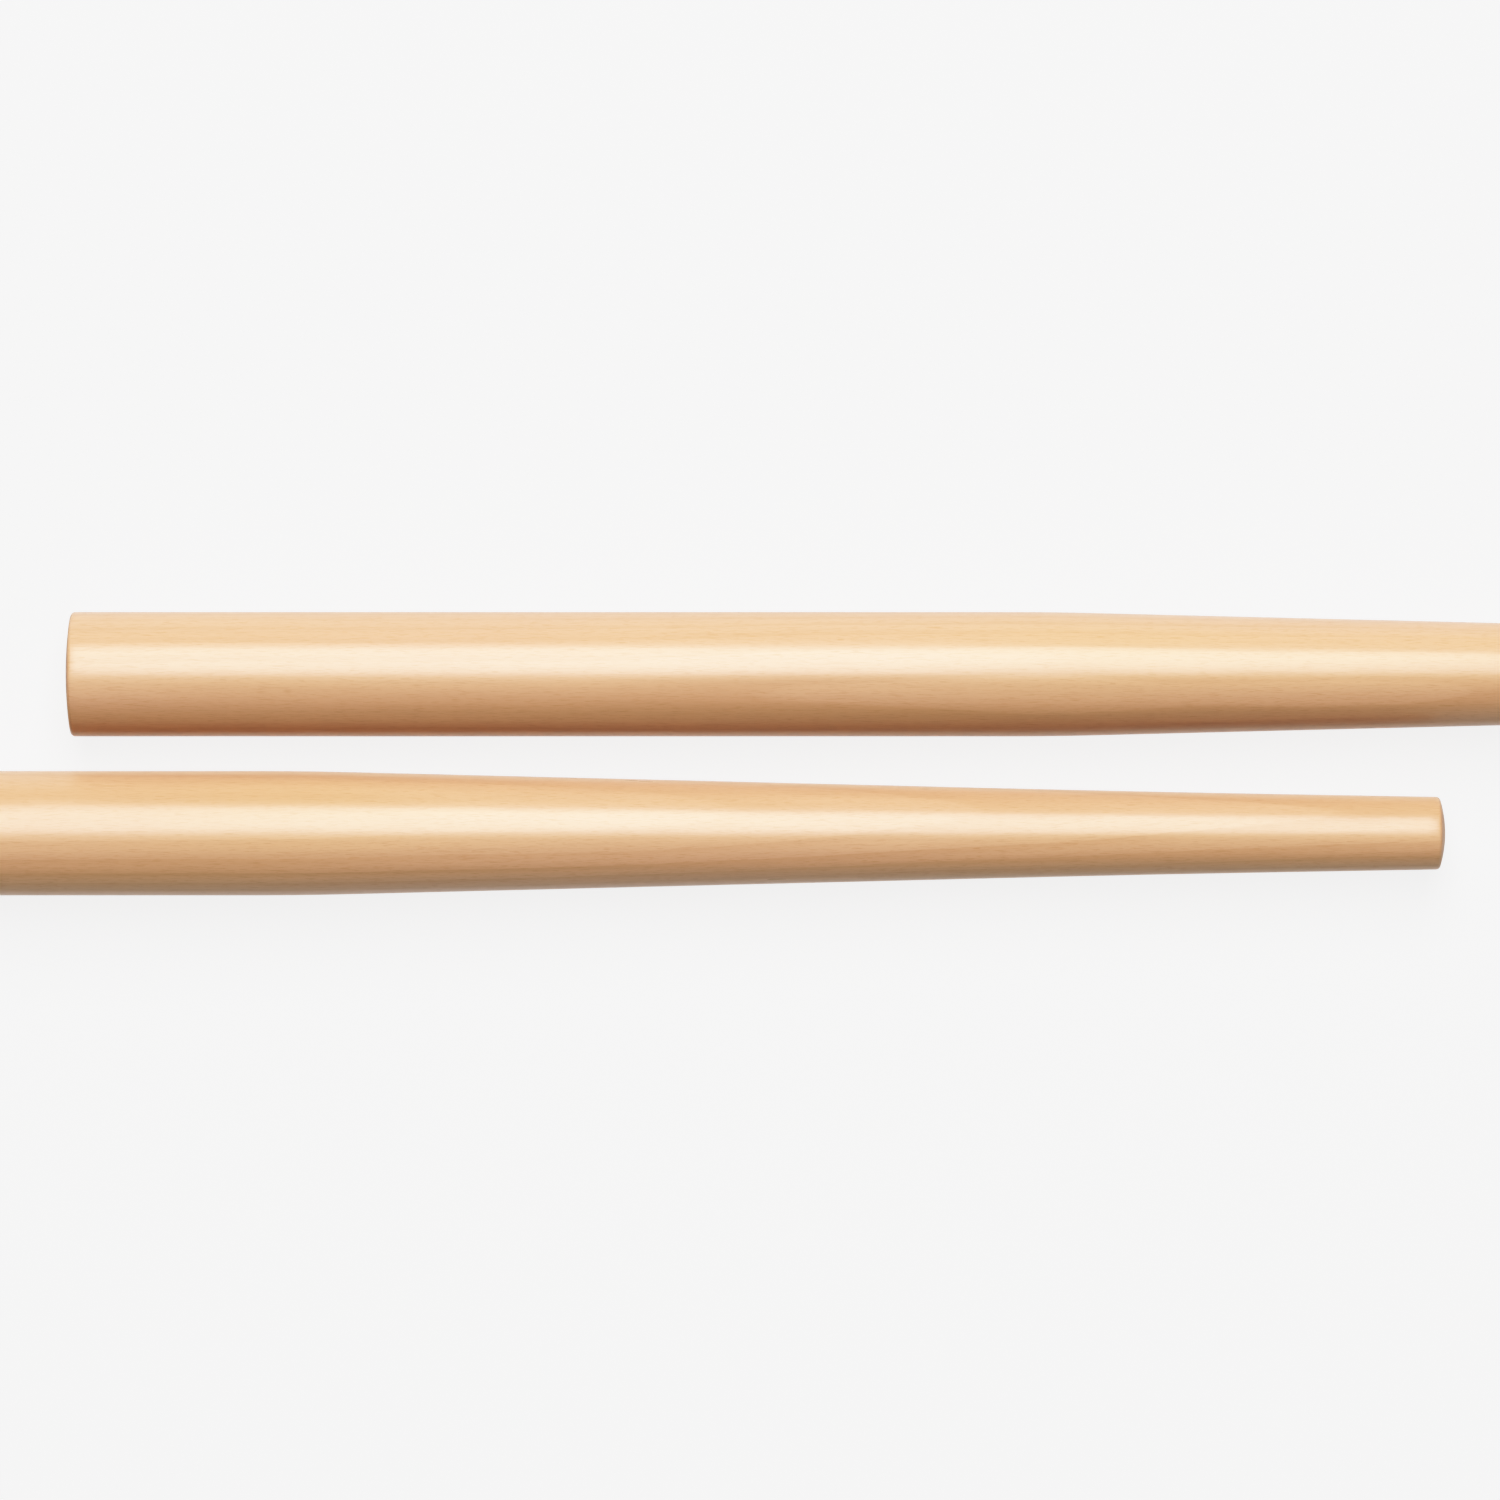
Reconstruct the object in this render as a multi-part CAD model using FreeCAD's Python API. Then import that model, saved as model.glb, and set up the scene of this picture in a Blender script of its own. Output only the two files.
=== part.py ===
import FreeCAD, Part
import math
import os

# A pair of claves: two matched sticks, each turned from one piece of solid hardwood and
# knocked together by hand. Every stick has a straight round grip, a long taper that eases
# off towards a slim tip, and two slightly domed ends with a softened rim.
#
# The sticks lie side by side on a flat surface, both tips towards +X. Each one rests along
# its straight grip, so its axis is level and its thinner end clears the surface.
# Millimetres. +Z is up. The origin is on the surface, at the middle of the pair's footprint.

# One stick
stick_length = 432.0        # from the top of one dome to the top of the other
grip_length = 200.0         # from the butt to where the lines of grip and taper cross
butt_diameter = 25.4
tip_diameter = 14.8         # where the tip's dome would start if its rim were sharp
tip_run = 60.0              # last part of the taper, which is less steep
tip_run_slope = 0.0175      # how much the radius grows for each millimetre back from the tip
shoulder_blend = 16.0       # length of the curve between the grip and the taper
tip_blend = 56.0            # length of the curve between the taper and the tip run
butt_dome = 1.0             # height of the dome on the thick end
tip_dome = 1.2              # height of the dome on the thin end
butt_rim_radius = 0.8       # rounding of the thick end's rim
tip_rim_radius = 0.8        # rounding of the thin end's rim

# The pair
side_gap = 6.9              # clear space between the two grips
stagger = 152.0             # how far the resonator lies ahead of the striker

butt_radius = butt_diameter / 2
tip_radius = tip_diameter / 2
axis_spacing = butt_diameter + side_gap
pair_length = stick_length + stagger


def point(along, out):
    """A point of the outline: its place along the stick and its distance from the axis."""
    return FreeCAD.Vector(along, 0, out)


def line(start, end):
    return Part.LineSegment(start, end).toShape()


def arc(centre, start, end):
    """The shorter arc between two points that are equally far from a centre."""
    outward = (start - centre).normalize() + (end - centre).normalize()
    middle = centre + outward.normalize() * centre.distanceToPoint(start)
    return Part.Arc(start, middle, end).toShape()


def blend(before, corner, after, length):
    """The curve that eases one straight run into the next, with the points where it starts and ends."""
    start = corner + (before - corner).normalize() * (length / 2)
    end = corner + (after - corner).normalize() * (length / 2)
    curve = Part.BezierCurve()
    curve.setPoles([start, corner, end])
    return start, curve.toShape(), end


def domed_end(top, rim, side_point, rim_radius):
    """The dome and the rounded rim of one end, with the point where the stick's side begins.

    The dome is an arc about a centre on the axis. The rounding is an arc that touches both
    the dome, from inside, and the side, which runs from the sharp rim to side_point.
    """
    height = abs(rim.x - top.x)
    dome_radius = (rim.z ** 2 + height ** 2) / (2 * height)
    inward = (point(rim.x, 0) - top).normalize()
    dome_centre = top + inward * dome_radius
    side = (side_point - rim).normalize()
    to_axis = point(side.z, -side.x) * inward.x

    track = rim + to_axis * rim_radius
    reach = (dome_centre - track).dot(side)
    offset = (dome_centre - track).dot(to_axis)
    back = math.sqrt((dome_radius - rim_radius) ** 2 - offset ** 2)
    rim_centre = track + side * (reach - back)

    side_start = rim_centre - to_axis * rim_radius
    dome_edge = dome_centre + (rim_centre - dome_centre).normalize() * dome_radius
    return [arc(dome_centre, top, dome_edge), arc(rim_centre, dome_edge, side_start)], side_start


def stick_outline():
    """Half of the stick's lengthwise section, as a closed face beside the axis."""
    butt_top = point(0, 0)
    butt_rim = point(butt_dome, butt_radius)
    shoulder = point(grip_length, butt_radius)
    tip_rim = point(stick_length - tip_dome, tip_radius)
    knee = tip_rim + point(-tip_run, tip_run * tip_run_slope)
    tip_top = point(stick_length, 0)

    butt_end, grip_start = domed_end(butt_top, butt_rim, shoulder, butt_rim_radius)
    grip_end, shoulder_curve, taper_start = blend(grip_start, shoulder, knee, shoulder_blend)
    taper_end, knee_curve, tip_run_start = blend(shoulder, knee, tip_rim, tip_blend)
    tip_end, tip_run_end = domed_end(tip_top, tip_rim, knee, tip_rim_radius)
    print("straight grip from %.2f to %.2f mm from the butt" % (grip_start.x, grip_end.x))

    side = [
        line(grip_start, grip_end),
        shoulder_curve,
        line(taper_start, taper_end),
        knee_curve,
        line(tip_run_start, tip_run_end),
    ]
    axis = line(tip_top, butt_top)
    return Part.Face(Part.Wire(butt_end + side + tip_end[::-1] + [axis]))


def make_stick():
    """One turned stick, with the top of its butt's dome at the origin and its axis along +X."""
    return stick_outline().revolve(FreeCAD.Vector(0, 0, 0), FreeCAD.Vector(1, 0, 0), 360)


def make_resonator_stick():
    """The stick that is held still and rings: it lies on the +Y side, set ahead by the stagger."""
    stick = make_stick()
    stick.translate(FreeCAD.Vector(stagger - pair_length / 2, axis_spacing / 2, butt_radius))
    return stick


def make_striker_stick():
    """The stick that strikes: it lies on the -Y side, with its butt at the pair's -X end."""
    stick = make_stick()
    stick.translate(FreeCAD.Vector(-pair_length / 2, -axis_spacing / 2, butt_radius))
    return stick


nodes = {
    "resonator_stick": make_resonator_stick(),
    "striker_stick": make_striker_stick(),
}

os.makedirs("parts", exist_ok=True)
for name, stick in nodes.items():
    print("%s: valid %s, %.1f cm3" % (name, stick.isValid(), stick.Volume / 1000))
    stick.exportStep("parts/%s.step" % name)
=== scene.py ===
import math
import bpy
from mathutils import Euler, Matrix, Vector


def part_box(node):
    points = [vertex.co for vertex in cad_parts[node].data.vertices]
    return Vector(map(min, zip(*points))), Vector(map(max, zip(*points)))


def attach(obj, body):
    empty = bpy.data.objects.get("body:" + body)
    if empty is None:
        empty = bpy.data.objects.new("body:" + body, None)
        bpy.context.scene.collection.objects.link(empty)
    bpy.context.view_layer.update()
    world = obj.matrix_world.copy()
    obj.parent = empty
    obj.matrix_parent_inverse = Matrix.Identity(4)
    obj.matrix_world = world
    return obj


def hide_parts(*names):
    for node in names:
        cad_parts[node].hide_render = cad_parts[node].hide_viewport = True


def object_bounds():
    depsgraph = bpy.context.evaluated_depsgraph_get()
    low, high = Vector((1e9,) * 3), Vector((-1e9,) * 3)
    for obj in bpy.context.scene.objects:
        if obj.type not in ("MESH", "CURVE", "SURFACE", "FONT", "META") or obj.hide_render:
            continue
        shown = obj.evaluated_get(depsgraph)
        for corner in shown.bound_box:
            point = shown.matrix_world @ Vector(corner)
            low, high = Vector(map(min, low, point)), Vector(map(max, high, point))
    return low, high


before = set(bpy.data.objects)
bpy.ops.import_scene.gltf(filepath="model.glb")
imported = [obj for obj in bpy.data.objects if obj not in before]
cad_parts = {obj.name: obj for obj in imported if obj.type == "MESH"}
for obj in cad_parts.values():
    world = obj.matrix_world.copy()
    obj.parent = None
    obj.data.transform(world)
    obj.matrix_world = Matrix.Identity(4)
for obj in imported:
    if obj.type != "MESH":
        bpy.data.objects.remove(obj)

# A pair of claves: two matched, tapered hardwood sticks under clear satin lacquer.
# Metres throughout. Both sticks lie along X, tips towards +X, on a floor at z = 0.

cadLow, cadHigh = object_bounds()
millimetre = 0.001
samePlace = 0.001 * millimetre       # points nearer than this count as one


class Wire:
    # a shader socket that can be used in an expression; each operation adds its Math node
    def __init__(self, shader, socket):
        self.shader = shader
        self.socket = socket

    def calc(self, operation, *values):
        return self.shader.calc(operation, self, *values)

    def __add__(self, other):
        return self.calc("ADD", other)

    def __radd__(self, other):
        return self.shader.calc("ADD", other, self)

    def __sub__(self, other):
        return self.calc("SUBTRACT", other)

    def __rsub__(self, other):
        return self.shader.calc("SUBTRACT", other, self)

    def __mul__(self, other):
        return self.calc("MULTIPLY", other)

    def __rmul__(self, other):
        return self.shader.calc("MULTIPLY", other, self)

    def __truediv__(self, other):
        return self.calc("DIVIDE", other)

    def __pow__(self, other):
        return self.calc("POWER", other)


class Shader:
    # a material, or the world, with the one method that makes its nodes
    def __init__(self, owner):
        self.owner = owner
        owner.use_nodes = True
        self.tree = owner.node_tree
        self.tree.nodes.clear()

    def node(self, kind, settings=None, sockets=None, output=0):
        made = self.tree.nodes.new(kind)
        for name, value in (settings or {}).items():
            setattr(made, name, value)
        for name, value in (sockets or {}).items():
            if isinstance(value, Wire):
                self.tree.links.new(value.socket, made.inputs[name])
            else:
                made.inputs[name].default_value = value
        return Wire(self, made.outputs[output]) if made.outputs else made

    def calc(self, operation, *values):
        return self.node("ShaderNodeMath", {"operation": operation}, dict(enumerate(values)))

    def smooth(self, value, low, high):
        # 0 below low, 1 above high, with a soft step between them
        return self.node(
            "ShaderNodeMapRange",
            {"interpolation_type": "SMOOTHSTEP"},
            {"Value": value, "From Min": low, "From Max": high},
        )

    def noise(self, vector, size, detail=0.0, roughness=0.5):
        # soft noise from 0 to 1 whose blobs are about this size, in the vector's own units
        stretched = self.node(
            "ShaderNodeVectorMath",
            {"operation": "DIVIDE"},
            {0: vector, 1: size},
        )
        return self.node(
            "ShaderNodeTexNoise",
            {"noise_dimensions": "3D"},
            {"Vector": stretched, "Scale": 1.0, "Detail": detail, "Roughness": roughness},
        )

    def tint(self, base, colour, amount):
        # lays a colour over another, as much as the amount says
        return self.node(
            "ShaderNodeMix",
            {"data_type": "RGBA"},
            {"Factor": amount, "A": base, "B": colour},
            "Result",
        )


# one stick, turned from a single rod; both sticks share these sizes
stickShape = {
    "sides": 96,
    "ringEvery": 6 * millimetre,         # one ring of edges for each of these along the stick
    "gripLength": 200 * millimetre,      # butt to the corner where the taper starts
    "tipRun": 60 * millimetre,           # the last part of the taper, which is less steep
    "tipRunSlope": 0.0175,
    "tipRadius": 7.4 * millimetre,       # at the rim of the tip
    "shoulderBlend": 16 * millimetre,    # length of the curve between grip and taper
    "tipBlend": 56 * millimetre,         # length of the curve between taper and tip run
    "buttDome": 1.0 * millimetre,
    "tipDome": 1.2 * millimetre,
    "rimRadius": 0.8 * millimetre,
    "rimSegments": 5,
    "domeRings": 7,
    "rimLoop": 2 * millimetre,           # an extra ring of edges this far inside each rim
    "smoothAngle": math.radians(35),
    "sandingWaves": 0.03 * millimetre,   # how far the hand sanding dips below a true turning
    "waveLength": 35 * millimetre,
    "endGrainFalloff": 3,                # higher keeps end grain closer to the end faces
}


def sideRadius(along, length, buttRadius):
    # the stick's radius at a distance from the butt: straight grip, taper, gentler tip run
    shape = stickShape
    rimAt = length - shape["tipDome"]
    kneeAt = rimAt - shape["tipRun"]
    kneeRadius = shape["tipRadius"] + shape["tipRun"] * shape["tipRunSlope"]
    taperSlope = (buttRadius - kneeRadius) / (kneeAt - shape["gripLength"])

    def eased(distance, blend):
        # grows from 0 before the corner to the full distance after it, with no kink
        if distance <= -blend / 2:
            return 0
        if distance >= blend / 2:
            return distance
        return (distance + blend / 2) ** 2 / (2 * blend)

    pastShoulder = eased(along - shape["gripLength"], shape["shoulderBlend"])
    pastKnee = eased(along - kneeAt, shape["tipBlend"])
    return buttRadius - taperSlope * pastShoulder + (taperSlope - shape["tipRunSlope"]) * pastKnee


def editMesh(obj):
    for other in bpy.context.selected_objects:
        other.select_set(False)
    obj.select_set(True)
    bpy.context.view_layer.objects.active = obj
    bpy.ops.object.mode_set(mode="EDIT")


def selectWhere(obj, domain, test):
    # leaves edit mode, selects the vertices or faces that pass a test, and goes back
    bpy.ops.mesh.select_mode(type={"vertices": "VERT", "polygons": "FACE"}[domain])
    bpy.ops.mesh.select_all(action="DESELECT")
    bpy.ops.object.mode_set(mode="OBJECT")
    for element in getattr(obj.data, domain):
        element.select = test(element)
    bpy.ops.object.mode_set(mode="EDIT")


def addDome(obj, centre, outward, rimAt, radius, height):
    # insets one flat, many-sided end again and again, and lifts each inner face to the dome's
    # height there
    domeRadius = (radius ** 2 + height ** 2) / (2 * height)
    rimAngle = math.asin(radius / domeRadius)
    selectWhere(obj, "polygons", lambda face: face.normal.x * outward > 0.9 and len(face.vertices) > 4)
    rings = stickShape["domeRings"]
    ringRadius = radius
    lifted = 0
    for ring in range(1, rings + 1):
        angle = rimAngle * (1 - ring / (rings + 1))
        nextRadius = domeRadius * math.sin(angle)
        nextLift = domeRadius * (math.cos(angle) - math.cos(rimAngle))
        bpy.ops.mesh.inset(thickness=ringRadius - nextRadius, use_even_offset=True)
        bpy.ops.transform.translate(value=(outward * (nextLift - lifted), 0, 0))
        ringRadius = nextRadius
        lifted = nextLift
    bpy.ops.mesh.poke()
    selectWhere(
        obj,
        "vertices",
        lambda v: (v.co - centre).yz.length < samePlace and abs(v.co.x - rimAt) < 2 * height,
    )
    bpy.ops.transform.translate(value=(outward * (height - lifted), 0, 0))


def turnStick(name, nodeName):
    low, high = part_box(nodeName)
    axisY = (low.y + high.y) / 2
    axisZ = (low.z + high.z) / 2
    buttRadius = (high.y - low.y) / 2
    length = high.x - low.x
    shape = stickShape
    buttRim = low.x + shape["buttDome"]
    tipRim = high.x - shape["tipDome"]

    # a rod between the two rims
    bpy.ops.mesh.primitive_cylinder_add(
        vertices=shape["sides"],
        radius=buttRadius,
        depth=tipRim - buttRim,
        end_fill_type="NGON",
        location=((buttRim + tipRim) / 2, axisY, axisZ),
        rotation=(0, math.pi / 2, 0),
    )
    stick = bpy.context.object
    stick.name = name
    stick.data.name = name
    bpy.ops.object.transform_apply(location=True, rotation=True, scale=True)

    # cut it into rings, closer together near the rims
    cuts = [buttRim + shape["rimLoop"], tipRim - shape["rimLoop"]]
    ringCount = round((tipRim - buttRim) / shape["ringEvery"])
    cuts += [buttRim + (tipRim - buttRim) * ring / ringCount for ring in range(1, ringCount)]
    editMesh(stick)
    for cut in cuts:
        bpy.ops.mesh.select_all(action="SELECT")
        bpy.ops.mesh.bisect(plane_co=(cut, axisY, axisZ), plane_no=(1, 0, 0))

    # turn each ring down to its radius
    for cut in [*cuts, tipRim]:
        radius = sideRadius(cut - low.x, length, buttRadius)
        if radius > buttRadius - samePlace:
            continue
        selectWhere(stick, "vertices", lambda v: abs(v.co.x - cut) < samePlace)
        ratio = radius / buttRadius
        bpy.ops.transform.resize(
            value=(1, ratio, ratio),
            center_override=(cut, axisY, axisZ),
        )

    # dome both ends, then round their rims
    centre = Vector((0, axisY, axisZ))
    tipRadius = sideRadius(tipRim - low.x, length, buttRadius)
    ends = [
        (-1, buttRim, buttRadius, shape["buttDome"]),
        (1, tipRim, tipRadius, shape["tipDome"]),
    ]
    for outward, rimAt, radius, height in ends:
        addDome(stick, centre, outward, rimAt, radius, height)
        selectWhere(
            stick,
            "vertices",
            lambda v: abs(v.co.x - rimAt) < samePlace and (v.co - centre).yz.length > radius - samePlace,
        )
        bpy.ops.mesh.select_mode(type="EDGE")
        rimTurn = math.pi / 2 - 2 * math.atan(height / radius)
        bpy.ops.mesh.bevel(
            offset=shape["rimRadius"] * math.tan(rimTurn / 2),
            segments=shape["rimSegments"],
            profile=0.5,
            affect="EDGES",
        )
    bpy.ops.mesh.select_all(action="SELECT")
    bpy.ops.mesh.remove_doubles(threshold=samePlace)
    bpy.ops.mesh.normals_make_consistent(inside=False)
    bpy.ops.object.mode_set(mode="OBJECT")
    bpy.ops.object.shade_smooth_by_angle(angle=shape["smoothAngle"])
    return stick, Vector((low.x, axisY, axisZ))


def sandByHand(stick):
    # the slight unevenness that sanding by hand leaves on a turned stick
    waves = bpy.data.textures.new(stick.name + "Sanding", "CLOUDS")
    waves.noise_scale = stickShape["waveLength"]
    waves.noise_depth = 1
    sanding = stick.modifiers.new("sanding", "DISPLACE")
    sanding.texture = waves
    sanding.texture_coords = "LOCAL"
    sanding.direction = "NORMAL"
    sanding.mid_level = 1.0
    sanding.strength = stickShape["sandingWaves"]
    bpy.ops.object.modifier_apply(modifier=sanding.name)


def markEndGrain(stick):
    # how much each point shows end grain, from the way the surface faces
    endGrain = stick.data.attributes.new("endGrain", "FLOAT", "POINT")
    falloff = stickShape["endGrainFalloff"]
    facing = [min(1.0, abs(v.normal.x) ** falloff) for v in stick.data.vertices]
    endGrain.data.foreach_set("value", facing)


# the wood and its lacquer; the noise sizes are in millimetres, along the grain and then across it
hardwoodLook = {
    "earlyWood": (0.655, 0.438, 0.295),
    "lateWood": (0.60, 0.392, 0.254),
    "yearWidth": 2.6,            # millimetres between two growth rings
    "wander": 5.0,               # how far the rings stray from true circles, in millimetres
    "wanderSize": (170, 38, 38),
    "darkening": (0.45, 0.93),   # the share of each year's growth over which the wood darkens
    "yearEnd": (0.94, 1.0),      # and over which it turns pale again
    "lateWoodDepth": (0.35, 0.5),  # how dark late wood gets: in every year, and by chance on top
    "streak": 0.10,              # how much the long fibres lighten and darken the wood
    "fibreSize": (90, 0.55, 0.55),
    "bandSize": (260, 3.4, 3.4),
    "warmth": 0.012,             # how far the hue drifts between yellowish and pinkish
    "richness": 0.12,            # how far the saturation drifts with it
    "driftSize": (120, 25, 25),
    "poreTone": (0.42, 0.24, 0.12),
    "poreAmount": 0.25,
    "poreSize": (2.6, 0.13, 0.13),
    "poreEdge": (0.60, 0.72),
    "rayTone": (0.56, 0.33, 0.19),
    "rayAmount": 0.20,
    "raySize": (1.8, 0.20, 0.9),  # this one: along the grain, round the rings, out from the pith
    "rayEdge": (0.62, 0.74),
    "endTone": (0.54, 0.345, 0.20),
    "endAmount": 0.38,
    # painted shade: a darker tone laid over the rounded rims at both ends
    "rimShadeTone": (0.40, 0.235, 0.125),
    "rimShadeAmount": 0.12,
    "rimOuter": (0.02, 0.35),    # how much end grain shows where the rim's painted shade comes in
    "rimInner": (0.55, 0.98),    # and where it goes out again
    "sandingTone": 0.12,         # how much the sanding rings on the ends lighten and darken them
    "sandingSize": (0.22, 0.22, 0.22),
    "roughness": 0.29,
    "endRoughness": 0.14,        # the sealed end grain is duller by this much
    "sheenDrift": 0.07,
    "sheenSize": (22, 3.5, 3.5),
    "skinSize": (1.4, 1.4, 1.4),
    "lacquerIor": 1.45,
    "lacquerRelief": 0.008 * millimetre,
    "skinRelief": 0.9,           # shares of that relief
    "fibreRelief": 0.8,
    "poreRelief": -0.5,
    "lateWoodRelief": -0.1,
}


def hardwood(name, butt, grain):
    # solid wood: the pattern runs right through the stick, so side and end grain agree
    look = hardwoodLook
    shader = Shader(bpy.data.materials.new(name))
    coordinates = shader.node("ShaderNodeTexCoord", output="Object")
    log = shader.node(
        "ShaderNodeMapping",
        {"vector_type": "TEXTURE"},
        {
            "Vector": coordinates,
            "Location": butt,
            "Rotation": Euler([math.radians(turn) for turn in grain["lean"]]),
            "Scale": (millimetre,) * 3,
        },
    )
    along = shader.node("ShaderNodeSeparateXYZ", None, {0: log}, "X")
    fromAxisY = shader.node("ShaderNodeSeparateXYZ", None, {0: log}, "Y")
    fromAxisZ = shader.node("ShaderNodeSeparateXYZ", None, {0: log}, "Z")
    acrossY = fromAxisY - grain["pith"][0]
    acrossZ = fromAxisZ - grain["pith"][1]
    pithDistance = math.hypot(*grain["pith"])

    # growth rings
    wander = shader.noise(log, look["wanderSize"], detail=2) - 0.5
    fromPith = (acrossY * acrossY + acrossZ * acrossZ) ** 0.5 + wander * look["wander"]
    years = fromPith / look["yearWidth"] + grain["seed"]
    season = years.calc("FRACT")
    lateWood = shader.smooth(season, *look["darkening"]) * (1 - shader.smooth(season, *look["yearEnd"]))
    yearTone = shader.node(
        "ShaderNodeTexWhiteNoise",
        {"noise_dimensions": "1D"},
        {"W": years.calc("FLOOR")},
    )

    # long fibres, pores and rays
    fibres = shader.noise(log, look["fibreSize"], detail=3, roughness=0.6)
    bands = shader.noise(log, look["bandSize"], detail=1)
    pores = shader.smooth(shader.noise(log, look["poreSize"]), *look["poreEdge"])
    bearing = acrossZ.calc("ARCTAN2", acrossY) * pithDistance
    rayPlace = shader.node("ShaderNodeCombineXYZ", None, {"X": along, "Y": bearing, "Z": fromPith})
    rays = shader.smooth(shader.noise(rayPlace, look["raySize"]), *look["rayEdge"])

    # the ends: thirsty end grain, and painted shade that darkens the rounded rims
    endGrain = shader.node("ShaderNodeAttribute", {"attribute_name": "endGrain"}, None, "Fac")
    rimShade = shader.smooth(endGrain, *look["rimOuter"]) * (1 - shader.smooth(endGrain, *look["rimInner"]))
    fromAxis = (fromAxisY * fromAxisY + fromAxisZ * fromAxisZ) ** 0.5
    sandingPlace = shader.node("ShaderNodeCombineXYZ", None, {"X": fromAxis, "Y": along})
    sanding = (shader.noise(sandingPlace, look["sandingSize"], detail=2) - 0.5) * endGrain

    everyYear, byChance = look["lateWoodDepth"]
    yearDepth = lateWood * (everyYear + yearTone * byChance)
    tone = shader.tint((*look["earlyWood"], 1), (*look["lateWood"], 1), yearDepth)
    strength = 1 + (fibres - 0.5) * look["streak"] + (bands - 0.5) * look["streak"]
    strength = strength + sanding * look["sandingTone"]
    drift = shader.noise(log, look["driftSize"], detail=1) - 0.5
    tone = shader.node(
        "ShaderNodeHueSaturation",
        None,
        {
            "Hue": 0.5 + drift * look["warmth"],
            "Saturation": 1 + drift * look["richness"],
            "Value": strength,
            "Color": tone,
        },
    )
    tone = shader.tint(tone, (*look["rayTone"], 1), rays * look["rayAmount"])
    tone = shader.tint(tone, (*look["poreTone"], 1), pores * look["poreAmount"])
    tone = shader.tint(tone, (*look["endTone"], 1), endGrain * look["endAmount"])
    # painted shade along the rounded rims of both ends
    tone = shader.tint(tone, (*look["rimShadeTone"], 1), rimShade * look["rimShadeAmount"])

    # the lacquer: sprayed thin, so it follows the grain a little and has a faint skin of its own
    sheen = shader.noise(log, look["sheenSize"], detail=2) - 0.5
    roughness = look["roughness"] + sheen * look["sheenDrift"] + endGrain * look["endRoughness"]
    skin = shader.noise(log, look["skinSize"], detail=1)
    relief = skin * look["skinRelief"] + fibres * look["fibreRelief"]
    relief = relief + pores * look["poreRelief"] + lateWood * look["lateWoodRelief"] + sanding
    bump = shader.node(
        "ShaderNodeBump",
        None,
        {"Strength": 1.0, "Distance": look["lacquerRelief"], "Height": relief},
    )
    surface = shader.node(
        "ShaderNodeBsdfPrincipled",
        None,
        {
            "Base Color": tone,
            "Roughness": roughness,
            "Normal": bump,
            "IOR": look["lacquerIor"],
        },
    )
    shader.node("ShaderNodeOutputMaterial", None, {"Surface": surface})
    return shader.owner


# where each stick was in its log: how it leans to the grain, in degrees,
# and where the pith lies from its axis, in millimetres
resonatorGrain = {"lean": (0, 0.5, -0.35), "pith": (34, -92), "seed": 0.0}
strikerGrain = {"lean": (0, -0.3, 0.45), "pith": (-51, -80), "seed": 17.0}

sticks = [
    ("resonatorStick", "resonator_stick", "resonator", resonatorGrain),
    ("strikerStick", "striker_stick", "striker", strikerGrain),
]
for name, nodeName, bodyName, grain in sticks:
    stick, butt = turnStick(name, nodeName)
    sandByHand(stick)
    markEndGrain(stick)
    stick.data.materials.append(hardwood(name + "Wood", butt, grain))
    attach(stick, bodyName)
    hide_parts(nodeName)
    print("turned", name, len(stick.data.polygons), "faces")


# a floor of glowing paper, one large softbox above and behind, and a camera looking straight down
studio = {
    "floorSize": 24,
    "floorGlow": 0.97,          # the paper's own light, which makes it pale and even
    "floorTone": (0.10, 0.10, 0.10, 1),
    "boxTilt": 25,              # degrees from overhead, towards +Y
    "boxDistance": 2.0,
    "boxLength": 1.05,
    "boxWidth": 1.9,
    "boxPower": 71,
    "fill": 0.03,               # the dim room overhead
    "horizon": 1.06,            # a bright band all round, level with the floor
    "bandTop": (0.02, 0.12),    # where that band starts and stops fading upwards
    "cameraAside": (-0.0012, 0.00075),
    "cameraAbove": 1.6256,      # from the sticks' axes
    "lens": 192,
    "sensorWidth": 36,
    "whiteLevel": 1.4,          # the brightness that the film shows as full white
    "filmSpeed": 1.79,          # how early bright tones level off
    "filmContrast": 1.8,        # how far shade is darkened
    "filmStops": (0.1, 0.25, 0.5, 0.75),  # shares of the white level where the curve is set
}

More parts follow.
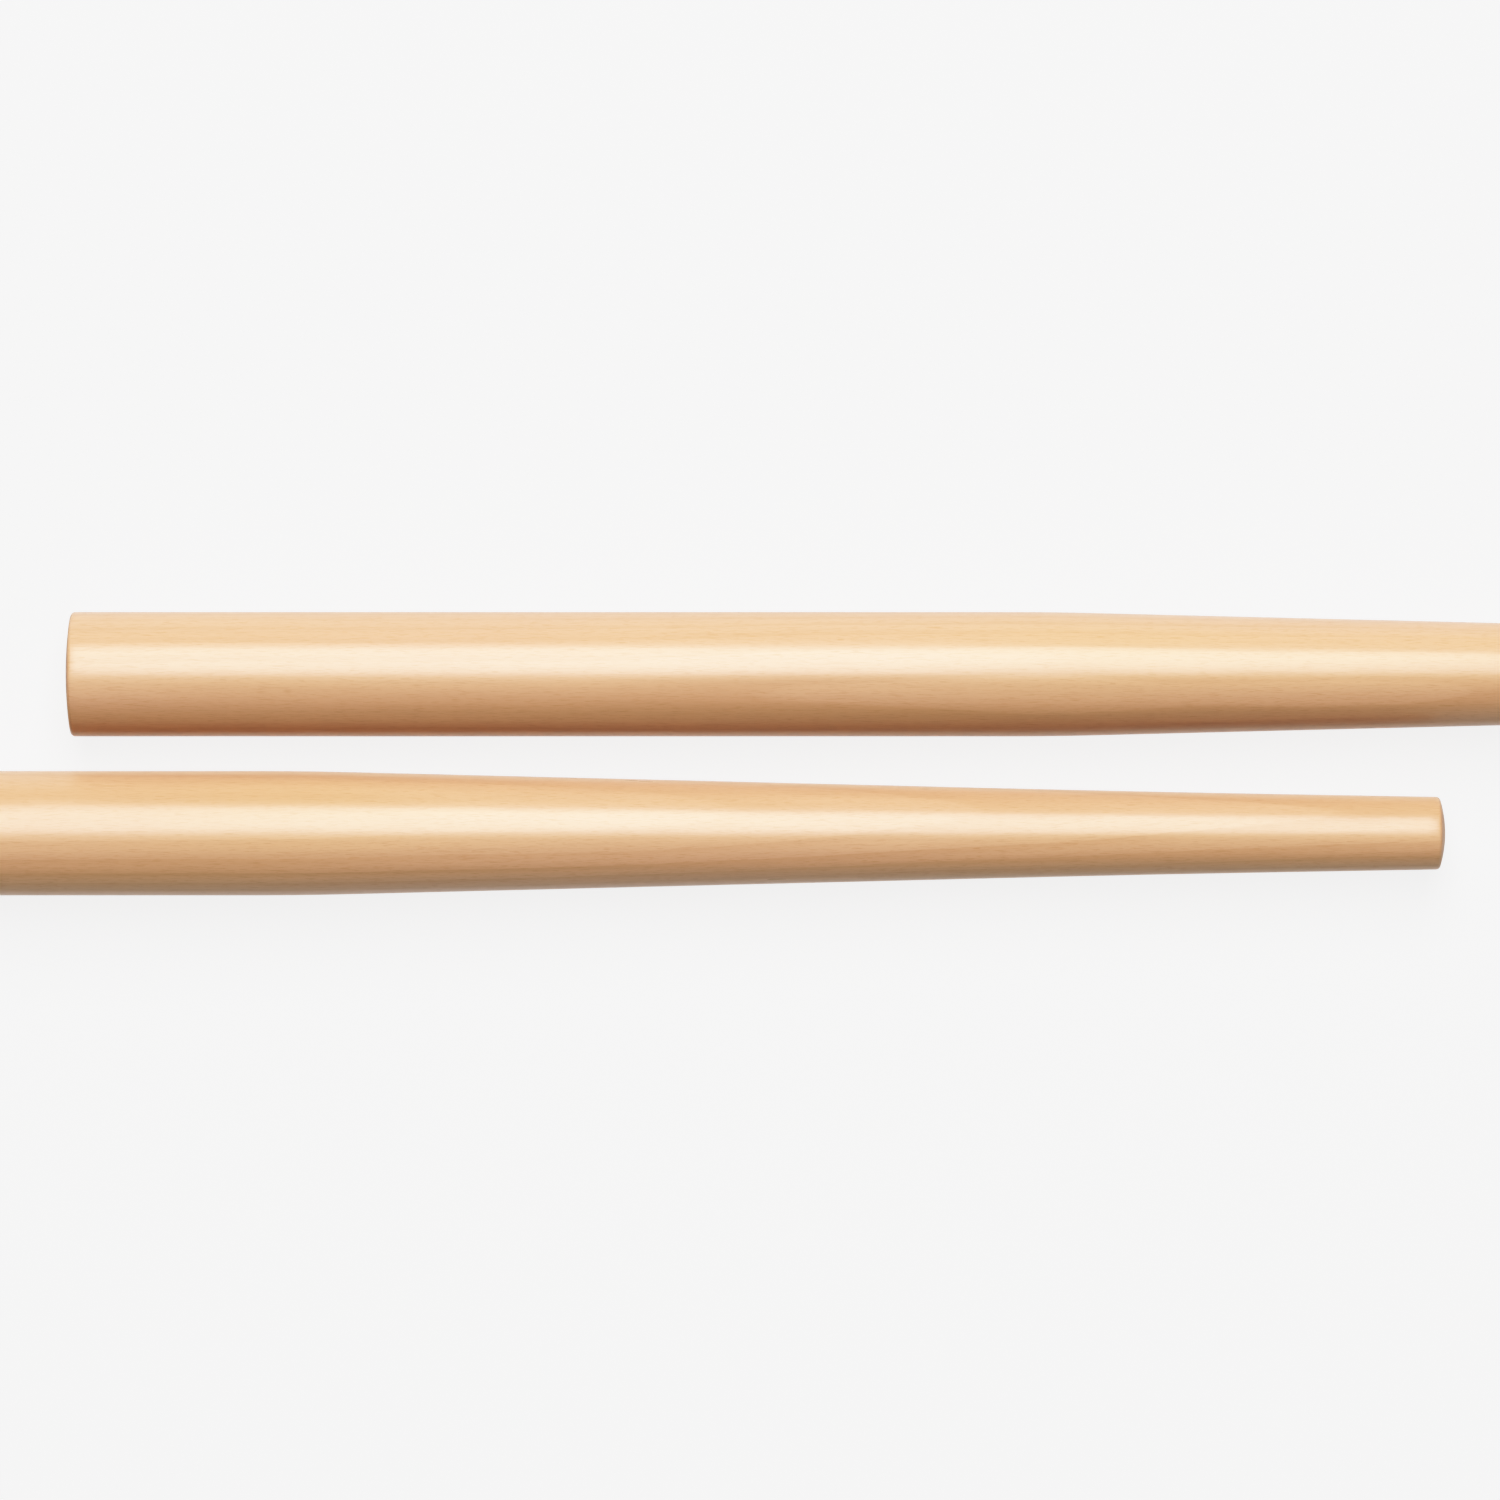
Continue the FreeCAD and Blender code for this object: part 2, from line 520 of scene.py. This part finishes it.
bpy.ops.mesh.primitive_plane_add(size=studio["floorSize"])
floor = bpy.context.object
floor.name = "floor"
paper = Shader(bpy.data.materials.new("studioPaper"))
paperSurface = paper.node(
    "ShaderNodeBsdfPrincipled",
    None,
    {
        "Base Color": studio["floorTone"],
        "Roughness": 0.9,
        "Specular IOR Level": 0.0,
        "Emission Color": (1, 1, 1, 1),
        "Emission Strength": studio["floorGlow"],
    },
)
paper.node("ShaderNodeOutputMaterial", None, {"Surface": paperSurface})
floor.data.materials.append(paper.owner)

bpy.context.scene.world = bpy.data.worlds.new("studio")
sky = Shader(bpy.context.scene.world)
direction = sky.node("ShaderNodeTexCoord", output="Generated")
height = sky.node("ShaderNodeSeparateXYZ", None, {0: direction}, "Z")
aboveBand = sky.smooth(height, *studio["bandTop"])
skyLight = studio["horizon"] - aboveBand * (studio["horizon"] - studio["fill"])
skyGlow = sky.node("ShaderNodeBackground", None, {"Color": (1, 1, 1, 1), "Strength": skyLight})
sky.node("ShaderNodeOutputWorld", None, {"Surface": skyGlow})

softbox = bpy.data.lights.new("softbox", "AREA")
softbox.shape = "RECTANGLE"
softbox.size = studio["boxLength"]
softbox.size_y = studio["boxWidth"]
softbox.energy = studio["boxPower"]
softboxStand = bpy.data.objects.new("softbox", softbox)
bpy.context.collection.objects.link(softboxStand)
tilt = math.radians(studio["boxTilt"])
softboxStand.location = (0, studio["boxDistance"] * math.sin(tilt), studio["boxDistance"] * math.cos(tilt))
softboxStand.rotation_euler = (-tilt, 0, 0)
softboxStand.visible_camera = False

camera = bpy.data.cameras.new("camera")
camera.lens = studio["lens"]
camera.sensor_width = studio["sensorWidth"]
cameraStand = bpy.data.objects.new("camera", camera)
bpy.context.collection.objects.link(cameraStand)
axisHeight = (cadLow.z + cadHigh.z) / 2
cameraStand.location = (*studio["cameraAside"], axisHeight + studio["cameraAbove"])
bpy.context.scene.camera = cameraStand


def filmTone(share):
    # what the film makes of a brightness, given as a share of its white level
    def exposed(brightness):
        return 1 - math.exp(-studio["filmSpeed"] * brightness ** studio["filmContrast"])

    return exposed(share * studio["whiteLevel"]) / exposed(studio["whiteLevel"])


# the film curve: deep shade is shown much darker, and bright tones level off softly
development = bpy.context.scene.view_settings
development.view_transform = "Standard"
development.use_curve_mapping = True
film = development.curve_mapping
film.white_level = (studio["whiteLevel"],) * 3
for share in studio["filmStops"]:
    film.curves[3].points.new(share, filmTone(share))
film.update()
print("studio is set")
